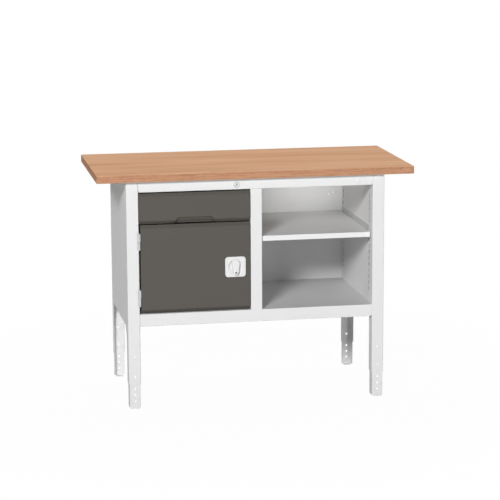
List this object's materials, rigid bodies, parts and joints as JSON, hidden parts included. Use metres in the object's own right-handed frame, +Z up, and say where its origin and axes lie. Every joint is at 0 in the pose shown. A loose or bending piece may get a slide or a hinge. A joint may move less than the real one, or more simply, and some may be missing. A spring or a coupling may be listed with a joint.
{
  "type": "workbench with drawer and cupboard",
  "caption": "Steel workbench with a layered beech top, a lockable drawer over a cupboard, an open bay with a hooked shelf, and legs that telescope to set the height.",
  "frame": {"origin": "on the floor under the middle of the worktop", "axes": "+X along the bench to the right seen from the front, +Y to the back, +Z up"},
  "size_m": [1.25, 0.6, 0.93],
  "materials": {
    "beech_worktop": "oiled layered beech",
    "frame_paint": "light grey powder coat",
    "front_paint": "warm dark grey powder coat",
    "zinc": "bright zinc plate",
    "lock_chrome": "satin chrome",
    "handle_plastic": "white moulded plastic"
  },
  "bodies": {
    "frame": {"worktop": "beech_worktop", "end_frame_left": "frame_paint", "end_frame_right": "frame_paint", "front_top_rail": "frame_paint", "rear_top_rail": "frame_paint", "base_tray": "frame_paint", "back_panel": "frame_paint", "centre_upright": "frame_paint", "lining_left": "frame_paint", "lining_right": "frame_paint", "partition_cupboard_side": "frame_paint", "partition_bay_side": "frame_paint", "shelf": "frame_paint", "shelf_bracket_left": "zinc", "shelf_bracket_right": "zinc", "runner_left_cabinet": "zinc", "runner_right_cabinet": "zinc", "hinge_lower_frame_knuckle": "zinc", "hinge_upper_frame_knuckle": "zinc", "hinge_lower_pin": "zinc", "hinge_upper_pin": "zinc", "drawer_lock_body": "lock_chrome", "rail_blank_plug": "handle_plastic"},
    "leg_front_left": {"leg_front_left": "frame_paint"},
    "leg_front_right": {"leg_front_right": "frame_paint"},
    "leg_rear_left": {"leg_rear_left": "frame_paint"},
    "leg_rear_right": {"leg_rear_right": "frame_paint"},
    "drawer": {"drawer_front": "front_paint", "drawer_finger_pull": "front_paint", "drawer_inner_front": "front_paint", "drawer_side_left": "frame_paint", "drawer_side_right": "frame_paint", "drawer_back": "frame_paint", "drawer_base": "frame_paint", "runner_left_drawer": "zinc", "runner_right_drawer": "zinc"},
    "runner_left": {"runner_left_middle": "zinc"},
    "runner_right": {"runner_right_middle": "zinc"},
    "door": {"door_panel": "front_paint", "door_inner_panel": "front_paint", "hinge_lower_door_knuckle": "zinc", "hinge_upper_door_knuckle": "zinc", "handle_plate": "handle_plastic"},
    "handle": {"handle_knob": "handle_plastic", "handle_spindle": "zinc", "handle_cam": "zinc"},
    "handle_key": {"handle_key_plug": "lock_chrome"},
    "drawer_lock": {"drawer_lock_plug": "lock_chrome", "drawer_lock_cam": "zinc"}
  },
  "joints": [
    {"name": "leg_front_left_height", "type": "slide", "parent": "frame", "child": "leg_front_left", "axis": [0, 0, 1], "range_m": [0, 0.1]},
    {"name": "leg_front_right_height", "type": "slide", "parent": "frame", "child": "leg_front_right", "axis": [0, 0, 1], "range_m": [0, 0.1]},
    {"name": "leg_rear_left_height", "type": "slide", "parent": "frame", "child": "leg_rear_left", "axis": [0, 0, 1], "range_m": [0, 0.1]},
    {"name": "leg_rear_right_height", "type": "slide", "parent": "frame", "child": "leg_rear_right", "axis": [0, 0, 1], "range_m": [0, 0.1]},
    {"name": "drawer_slide", "type": "slide", "parent": "frame", "child": "drawer", "axis": [0, -1, 0], "range_m": [0, 0.4]},
    {"name": "runner_left_slide", "type": "slide", "parent": "frame", "child": "runner_left", "axis": [0, -1, 0], "range_m": [0, 0.2]},
    {"name": "runner_right_slide", "type": "slide", "parent": "frame", "child": "runner_right", "axis": [0, -1, 0], "range_m": [0, 0.2]},
    {"name": "door_hinge", "type": "hinge", "parent": "frame", "child": "door", "pos_m": [-0.464, -0.28575, 0.556], "axis": [0, 0, -1], "range_deg": [0, 170]},
    {"name": "handle_turn", "type": "hinge", "parent": "door", "child": "handle", "pos_m": [-0.0865, -0.28, 0.553], "axis": [0, 1, 0], "range_deg": [0, 90]},
    {"name": "handle_key_turn", "type": "hinge", "parent": "handle", "child": "handle_key", "pos_m": [-0.0865, -0.29, 0.532], "axis": [0, 1, 0], "range_deg": [0, 90]},
    {"name": "drawer_lock_turn", "type": "hinge", "parent": "frame", "child": "drawer_lock", "pos_m": [-0.079, -0.27, 0.8765], "axis": [0, 1, 0], "range_deg": [0, 90]}
  ],
  "couplings": [
    {"joint": "leg_front_right_height", "follows": "leg_front_left_height", "ratio": 1},
    {"joint": "leg_rear_left_height", "follows": "leg_front_left_height", "ratio": 1},
    {"joint": "leg_rear_right_height", "follows": "leg_front_left_height", "ratio": 1},
    {"joint": "runner_left_slide", "follows": "drawer_slide", "ratio": 0.5},
    {"joint": "runner_right_slide", "follows": "drawer_slide", "ratio": 0.5}
  ]
}
